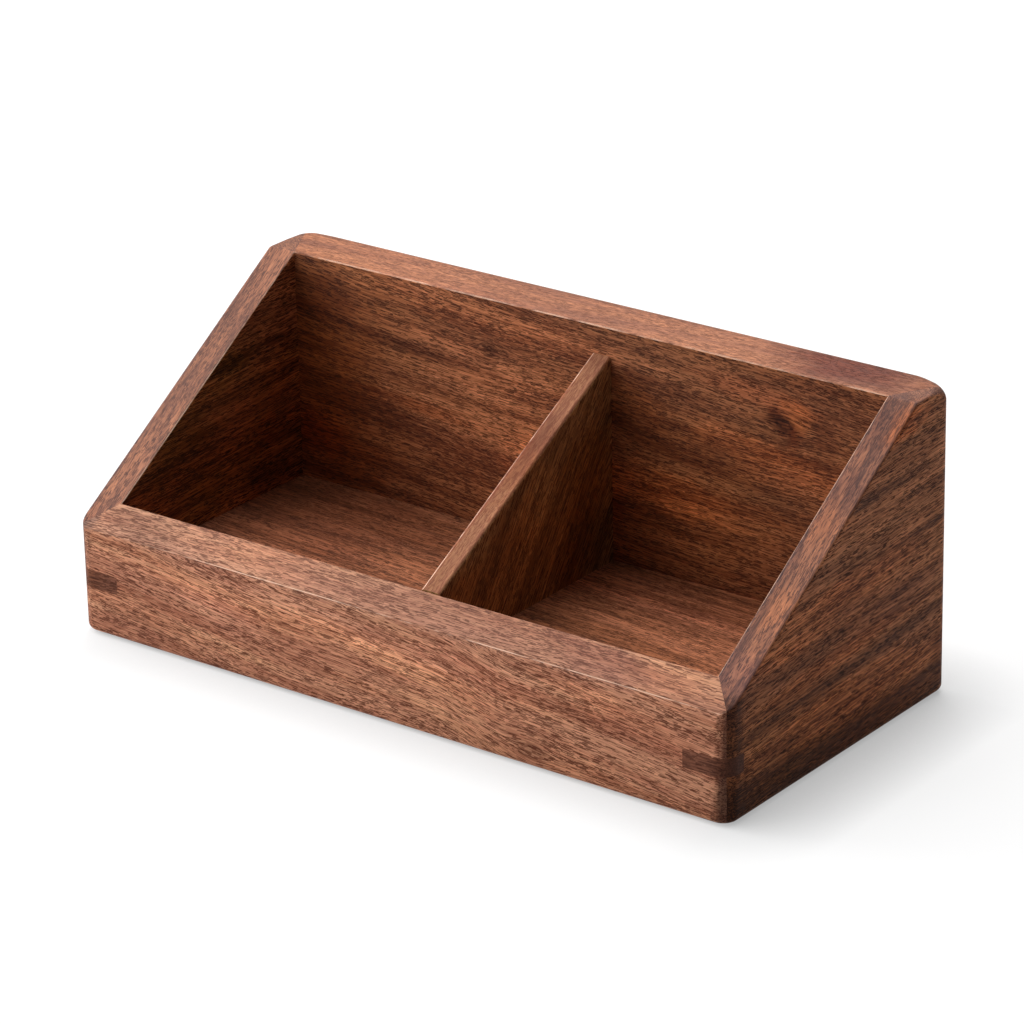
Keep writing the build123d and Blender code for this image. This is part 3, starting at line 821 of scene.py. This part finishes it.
def makeFeltTree(material):
    # a soft disc with stray fibres round its rim, put down at every point of the input
    tree = bpy.data.node_groups.new("feltPads", "GeometryNodeTree")
    tree.is_modifier = True
    tree.interface.new_socket("Geometry", in_out="INPUT", socket_type="NodeSocketGeometry")
    for name in feltPads:
        kind = "NodeSocketInt" if name == "Seed" else "NodeSocketFloat"
        tree.interface.new_socket(name, in_out="INPUT", socket_type=kind)
    tree.interface.new_socket("Geometry", in_out="OUTPUT", socket_type="NodeSocketGeometry")
    given = addNode(tree, "NodeGroupInput").outputs
    result = addNode(tree, "NodeGroupOutput").inputs

    def step(kind, sockets, **settings):
        return addNode(tree, kind, sockets, **settings).outputs[0]

    # the discs, dented a little
    disc = addNode(tree, "GeometryNodeMeshCylinder",
                   {"Vertices": 48, "Side Segments": 4, "Fill Segments": 6, "Radius": given["Pad Radius"],
                    "Depth": given["Pad Thickness"]}, fill_type="TRIANGLE_FAN").outputs["Mesh"]
    pads = step("GeometryNodeInstanceOnPoints", {"Points": given["Geometry"], "Instance": disc})
    pads = step("GeometryNodeRealizeInstances", {"Geometry": pads})
    dents = addNode(tree, "ShaderNodeTexNoise", {"Scale": 900.0, "Detail": 2.0}).outputs["Fac"]
    depth = calc(tree, "MULTIPLY", calc(tree, "MULTIPLY", dents, given["Dent"]), -1.0)
    normal = addNode(tree, "GeometryNodeInputNormal").outputs[0]
    inwards = step("ShaderNodeVectorMath", {0: normal, "Scale": depth}, operation="SCALE")
    pads = step("GeometryNodeSetPosition", {"Geometry": pads, "Offset": inwards})

    # bent fibres that stand out from the rim, each turned and sized by chance
    rim = calc(tree, "LESS_THAN", calc(tree, "ABSOLUTE", split(tree, normal)[2]), 0.5)
    scatter = addNode(tree, "GeometryNodeDistributePointsOnFaces",
                      {"Mesh": pads, "Selection": rim, "Density": given["Fibres per Area"],
                       "Seed": given["Seed"]}).outputs
    reach = given["Fibre Length"]
    middle = combine(tree, calc(tree, "MULTIPLY", reach, 0.5), 0, calc(tree, "MULTIPLY", reach, 0.6))
    end = combine(tree, reach, 0, calc(tree, "MULTIPLY", reach, 0.35))
    fibre = step("GeometryNodeCurveQuadraticBezier",
                 {"Resolution": 3, "Start": (0, 0, 0), "Middle": middle, "End": end})
    section = step("GeometryNodeCurvePrimitiveCircle", {"Resolution": 3, "Radius": given["Fibre Radius"]})
    strand = step("GeometryNodeCurveToMesh", {"Curve": fibre, "Profile Curve": section, "Fill Caps": True})
    turn = addNode(tree, "FunctionNodeRandomValue", {"Max": 2 * math.pi, "Seed": given["Seed"]},
                   data_type="FLOAT").outputs[1]
    nextSeed = calc(tree, "ADD", given["Seed"], 1.0)
    size = addNode(tree, "FunctionNodeRandomValue", {"Min": 0.5, "Max": 1.2, "Seed": nextSeed},
                   data_type="FLOAT").outputs[1]
    fibres = step("GeometryNodeInstanceOnPoints",
                  {"Points": scatter["Points"], "Instance": strand, "Rotation": scatter["Rotation"],
                   "Scale": size})
    fibres = step("GeometryNodeRotateInstances",
                  {"Instances": fibres, "Rotation": combine(tree, z=turn), "Local Space": True})

    # nothing reaches under the floor or above the pad
    whole = addNode(tree, "GeometryNodeJoinGeometry")
    tree.links.new(pads, whole.inputs[0])
    tree.links.new(fibres, whole.inputs[0])
    whole = step("GeometryNodeRealizeInstances", {"Geometry": whole.outputs[0]})
    place = split(tree, addNode(tree, "GeometryNodeInputPosition").outputs[0])
    level = calc(tree, "MINIMUM", calc(tree, "MAXIMUM", place[2], 0.0), given["Pad Thickness"])
    whole = step("GeometryNodeSetPosition",
                 {"Geometry": whole, "Position": combine(tree, place[0], place[1], level)})
    whole = step("GeometryNodeSetMaterial", {"Geometry": whole, "Material": material})
    tree.links.new(whole, result["Geometry"])
    return tree


def makeFeltPads(nodeNames):
    corners = [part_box(nodeName) for nodeName in nodeNames]
    centres = [(Vector(low) + Vector(high)) / 2 for low, high in corners]
    spots = bpy.data.meshes.new("padSpots")
    spots.from_pydata([tuple(centre) for centre in centres], [], [])
    maker = addObject("padMaker", spots)
    modifier = maker.modifiers.new("feltPads", "NODES")
    modifier.node_group = makeFeltTree(makeFeltMaterial())
    for socket in modifier.node_group.interface.items_tree:
        if socket.in_out == "INPUT" and socket.name in feltPads:
            modifier[socket.identifier] = feltPads[socket.name]
    evaluated = maker.evaluated_get(bpy.context.evaluated_depsgraph_get())
    mesh = bpy.data.meshes.new_from_object(evaluated)
    maker.modifiers.remove(modifier)
    bpy.data.objects.remove(maker)
    pads = addObject("feltPads", mesh)
    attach(pads, "root")
    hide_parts(*nodeNames)
    print("felt pads:", len(mesh.polygons), "faces")


makeFeltPads([nodeName for nodeName, slotName in slots.items() if slotName == "felt"])

floorLook = {
    "size": 8.0,  # m
    "paleness": 0.8,
    "ownWhite": 0.785,  # what the camera sees of the floor's own white, lamps add the rest
    "shadowShare": 0.25,
    "contactShade": 0.64,
    "contactReach": 0.034,  # m
    "contactSide": (-0.6, -0.45, 0.66),
    "contactSamples": 16,
}


def seenMask(tree):
    # 1 where the camera looks, also by way of a gloss or through glass
    path = addNode(tree, "ShaderNodeLightPath").outputs
    mask = calc(tree, "MAXIMUM", path["Is Camera Ray"], path["Is Glossy Ray"])
    return calc(tree, "MAXIMUM", mask, path["Is Transmission Ray"])


def mattShader(tree, grey):
    return addNode(tree, "ShaderNodeBsdfDiffuse", {"Color": (grey, grey, grey, 1)}).outputs[0]


def makeFloor():
    # lamps see a matt floor, and the camera sees white that is shaded where the tray stands near
    half = floorLook["size"] / 2
    mesh = bpy.data.meshes.new("floor")
    corners = [(-half, -half, 0), (half, -half, 0), (half, half, 0), (-half, half, 0)]
    mesh.from_pydata(corners, [], [(0, 1, 2, 3)])
    material, tree = newMaterial("paleFloor")
    matt = mattShader(tree, floorLook["paleness"])
    shaded = mattShader(tree, floorLook["shadowShare"])
    sockets = {"Distance": floorLook["contactReach"], "Normal": combine(tree, *floorLook["contactSide"])}
    openness = addNode(tree, "ShaderNodeAmbientOcclusion", sockets,
                       samples=floorLook["contactSamples"]).outputs["AO"]
    lit = calc(tree, "MULTIPLY", openness, floorLook["contactShade"])
    lit = calc(tree, "ADD", lit, 1 - floorLook["contactShade"])
    lit = calc(tree, "MULTIPLY", floorLook["ownWhite"], lit)
    white = addNode(tree, "ShaderNodeEmission", {"Color": (1, 1, 1, 1), "Strength": lit}).outputs[0]
    seen = addNode(tree, "ShaderNodeAddShader", {0: shaded, 1: white}).outputs[0]
    shader = addNode(tree, "ShaderNodeMixShader", {0: seenMask(tree), 1: matt, 2: seen}).outputs[0]
    addNode(tree, "ShaderNodeOutputMaterial", {"Surface": shader})
    mesh.materials.append(material)
    addObject("floor", mesh)


makeFloor()
print("floor laid")

studio = {
    "aim": (0, 0, 0.05),  # m
    "distance": 1.6,
    "softboxSide": 1.0,
    "softboxes": {
        # direction from the aim, watts
        "leftSoftbox": ((-0.87, -0.15, 0.45), 20),
        "frontSoftbox": ((-0.6, -0.45, 0.65), 7),
        "lowFrontSoftbox": ((-0.3, -0.92, 0.25), 3.5),
        "backSoftbox": ((-0.2, 0.5, 0.84), 20.5),
        "topSoftbox": ((-0.3, -0.1, 0.95), 5),
    },
}


def addSoftbox(name, direction, watts):
    lamp = bpy.data.lights.new(name, "AREA")
    lamp.shape = "SQUARE"
    lamp.size = studio["softboxSide"]
    lamp.energy = watts
    outwards = Vector(direction).normalized()
    place = Vector(studio["aim"]) + outwards * studio["distance"]
    turn = (-outwards).to_track_quat("-Z", "Y").to_matrix().to_4x4()
    addObject(name, lamp).matrix_world = Matrix.Translation(place) @ turn


for name, (direction, watts) in studio["softboxes"].items():
    addSoftbox(name, direction, watts)
world = bpy.data.worlds.new("studio")
bpy.context.scene.world = world
worldTree = emptyTree(world)
sky = addNode(worldTree, "ShaderNodeBackground", {"Color": (1, 1, 1, 1), "Strength": seenMask(worldTree)})
addNode(worldTree, "ShaderNodeOutputWorld", {"Surface": sky.outputs[0]})
print("studio lit")

cameraView = {
    "azimuth": math.radians(37.542),
    "elevation": math.radians(22.681),
    "roll": math.radians(-1.207),
    "distance": 1612.463 * mm,
    "aim": Vector((2.412, 1.432, 55.999)) * mm,
    "lens": 163.848,
    "sensor": 36,
}


def placeCamera(view):
    cosine = math.cos(view["elevation"])
    towards = Vector((math.sin(view["azimuth"]) * cosine, -math.cos(view["azimuth"]) * cosine,
                      math.sin(view["elevation"])))
    right = Vector((math.cos(view["azimuth"]), math.sin(view["azimuth"]), 0))
    upwards = towards.cross(right)
    tilt = Matrix.Rotation(view["roll"], 3, towards)
    axes = Matrix((tilt @ right, tilt @ upwards, towards)).transposed().to_4x4()
    camera = addObject("camera", bpy.data.cameras.new("camera"))
    camera.data.lens = view["lens"]
    camera.data.sensor_width = view["sensor"]
    camera.matrix_world = Matrix.Translation(view["aim"] + view["distance"] * towards) @ axes
    bpy.context.scene.camera = camera


placeCamera(cameraView)
bpy.context.scene.view_settings.view_transform = "Standard"
print("camera placed")

print("scene ready")
